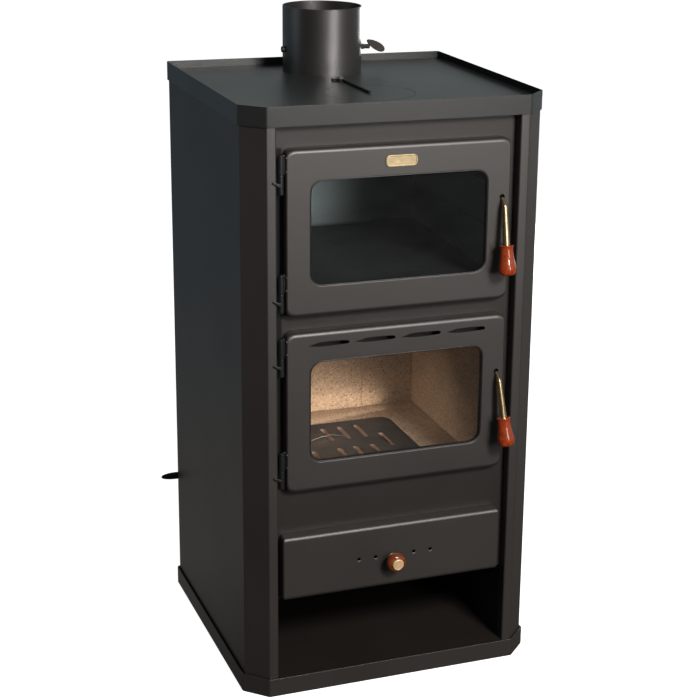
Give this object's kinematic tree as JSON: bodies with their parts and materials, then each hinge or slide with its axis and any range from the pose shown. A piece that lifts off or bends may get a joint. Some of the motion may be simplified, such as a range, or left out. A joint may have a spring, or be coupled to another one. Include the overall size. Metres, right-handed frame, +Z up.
{
  "type": "wood stove with oven",
  "caption": "Free-standing steel wood stove in black paint, with a glazed oven above a glazed firebox, an ash drawer, an open log bay and a top flue collar with its damper.",
  "frame": {"origin": "middle of the base tray's underside, on the floor", "axes": "+Z up, -Y out of the front with the doors, +X to the right of someone who faces the doors"},
  "size_m": [0.5115, 0.5097, 1.036],
  "materials": {
    "black_paint": "satin",
    "hob_paint": "satin",
    "dark_steel": "matt",
    "raw_steel": "satin",
    "bright_steel": "polished",
    "cast_iron": "rough",
    "vermiculite": "rough, speckled",
    "brass": "polished",
    "grip_wood": "gloss varnish",
    "glass": "polished",
    "rope_seal": "matt"
  },
  "bodies": {
    "stove_body": {"base_tray": "black_paint", "log_floor": "black_paint", "left_side_panel": "black_paint", "right_side_panel": "black_paint", "back_panel": "black_paint", "inner_left_plate": "dark_steel", "inner_right_plate": "dark_steel", "inner_back_plate": "dark_steel", "front_plate": "black_paint", "hob_tray": "hob_paint", "hob_lid": "hob_paint", "flue_collar": "black_paint", "oven_box": "dark_steel", "firebox_bottom": "dark_steel", "floor_board": "vermiculite", "left_lining": "vermiculite", "right_lining": "vermiculite", "back_lining_wide": "vermiculite", "back_lining_narrow": "vermiculite", "grate": "cast_iron", "grate_lifting_wire": "bright_steel", "ash_shelf": "dark_steel", "air_inlet_plate": "dark_steel", "oven_upper_hinge": "black_paint", "oven_lower_hinge": "black_paint", "fire_upper_hinge": "black_paint", "fire_lower_hinge": "black_paint"},
    "oven_door": {"oven_door_frame": "black_paint", "oven_door_glass": "glass", "oven_glass_retainer": "dark_steel", "oven_door_gasket": "rope_seal", "oven_upper_knuckle": "black_paint", "oven_lower_knuckle": "black_paint", "badge_plate": "brass"},
    "oven_handle": {"oven_handle_rod": "brass", "oven_handle_grip": "grip_wood", "oven_latch_tongue": "raw_steel"},
    "fire_door": {"fire_door_frame": "black_paint", "fire_door_glass": "glass", "fire_glass_retainer": "dark_steel", "fire_door_gasket": "rope_seal", "fire_upper_knuckle": "black_paint", "fire_lower_knuckle": "black_paint"},
    "fire_handle": {"fire_handle_rod": "brass", "fire_handle_grip": "grip_wood", "fire_latch_tongue": "raw_steel"},
    "ash_drawer": {"ash_drawer_box": "dark_steel", "ash_drawer_front": "black_paint", "drawer_knob_bolt": "brass", "drawer_knob_ring": "grip_wood"},
    "damper": {"damper_spindle": "dark_steel", "damper_disc": "dark_steel", "damper_key": "dark_steel"},
    "smoke_bypass": {"bypass_lever": "dark_steel", "bypass_pin": "bright_steel", "bypass_shutter": "dark_steel"},
    "air_register": {"air_register_lever": "dark_steel", "air_lever_grip": "grip_wood"}
  },
  "joints": [
    {"name": "oven_door_hinge", "type": "hinge", "parent": "stove_body", "child": "oven_door", "pos_m": [-0.187, -0.2235, 0.7495], "axis": [0, 0, -1], "range_deg": [0, 110]},
    {"name": "fire_door_hinge", "type": "hinge", "parent": "stove_body", "child": "fire_door", "pos_m": [-0.187, -0.2235, 0.4695], "axis": [0, 0, -1], "range_deg": [0, 110]},
    {"name": "oven_handle_turn", "type": "hinge", "parent": "oven_door", "child": "oven_handle", "pos_m": [0.1655, -0.2255, 0.784], "axis": [0, 1, 0], "range_deg": [0, 90]},
    {"name": "fire_handle_turn", "type": "hinge", "parent": "fire_door", "child": "fire_handle", "pos_m": [0.1655, -0.2255, 0.503], "axis": [0, 1, 0], "range_deg": [0, 90]},
    {"name": "ash_drawer_slide", "type": "slide", "parent": "stove_body", "child": "ash_drawer", "axis": [0, -1, 0], "range_m": [0, 0.25]},
    {"name": "damper_turn", "type": "hinge", "parent": "stove_body", "child": "damper", "pos_m": [0, 0.145, 0.966], "axis": [1, 0, 0], "range_deg": [0, 90]},
    {"name": "bypass_lever_turn", "type": "hinge", "parent": "stove_body", "child": "smoke_bypass", "pos_m": [-0.007, 0.032, 0.929], "axis": [0, 0, 1], "range_deg": [0, 60]},
    {"name": "air_register_turn", "type": "hinge", "parent": "stove_body", "child": "air_register", "pos_m": [-0.15, 0.2303, 0.203], "axis": [0, 1, 0], "range_deg": [0, 45]}
  ]
}
